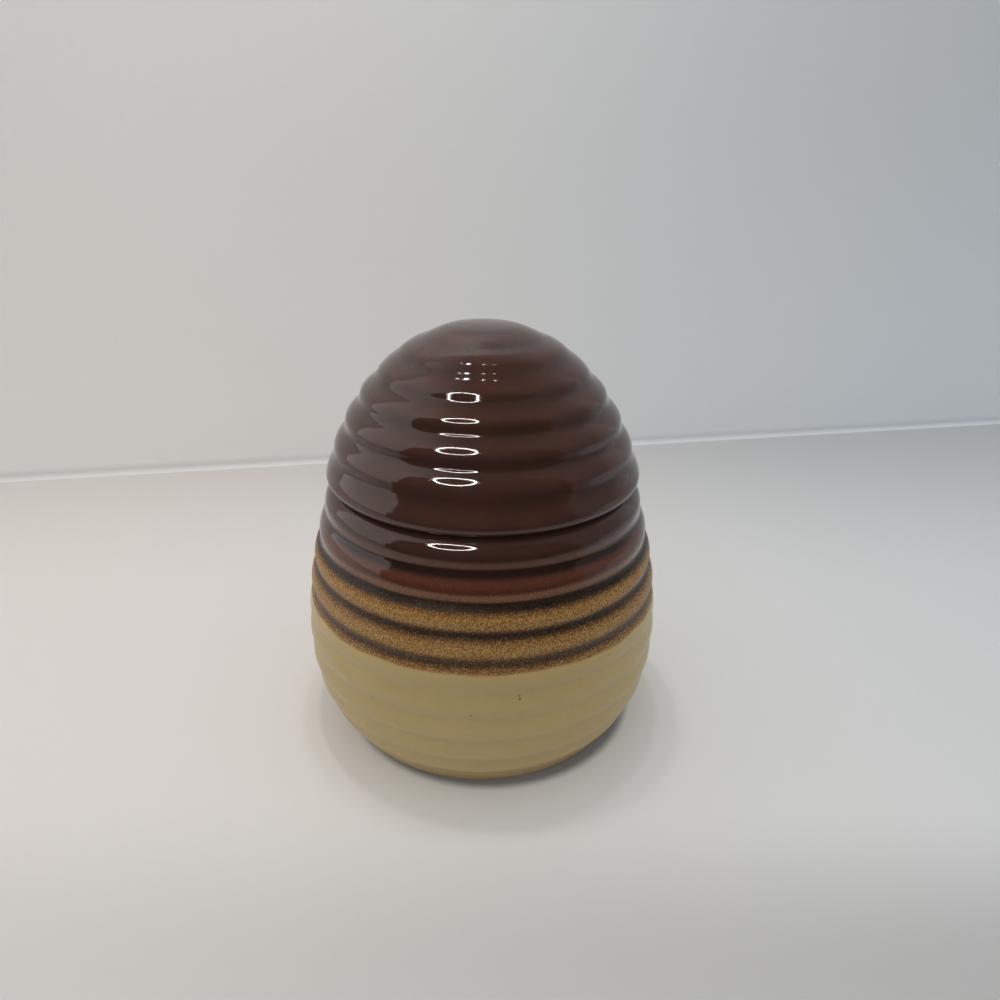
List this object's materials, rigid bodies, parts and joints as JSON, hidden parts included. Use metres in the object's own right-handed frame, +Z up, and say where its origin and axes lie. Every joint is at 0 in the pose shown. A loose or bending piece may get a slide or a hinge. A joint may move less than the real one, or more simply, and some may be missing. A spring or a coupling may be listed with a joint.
{
  "type": "honey pot",
  "caption": "Beehive-shaped ceramic honey pot: a ribbed, egg-shaped pot with a domed lid that lifts off, in dark brown glaze over cream.",
  "frame": {"origin": "on the axis of the pot, in the plane that its foot stands on", "axes": "+Z up along the axis; pot and lid are round, so +X and +Y are free, and the picture looks along +Y"},
  "size_m": [0.094, 0.094, 0.1054],
  "materials": {
    "pot_glaze": "satin cream glaze below, dipped in glossy dark brown glaze above",
    "lid_glaze": "glossy dark brown glaze"
  },
  "bodies": {
    "pot": {"pot": "pot_glaze"},
    "lid": {"lid": "lid_glaze"}
  },
  "joints": [
    {"name": "lid_lift", "type": "slide", "parent": "pot", "child": "lid", "axis": [0, 0, 1], "range_m": [0, 0.12]}
  ]
}
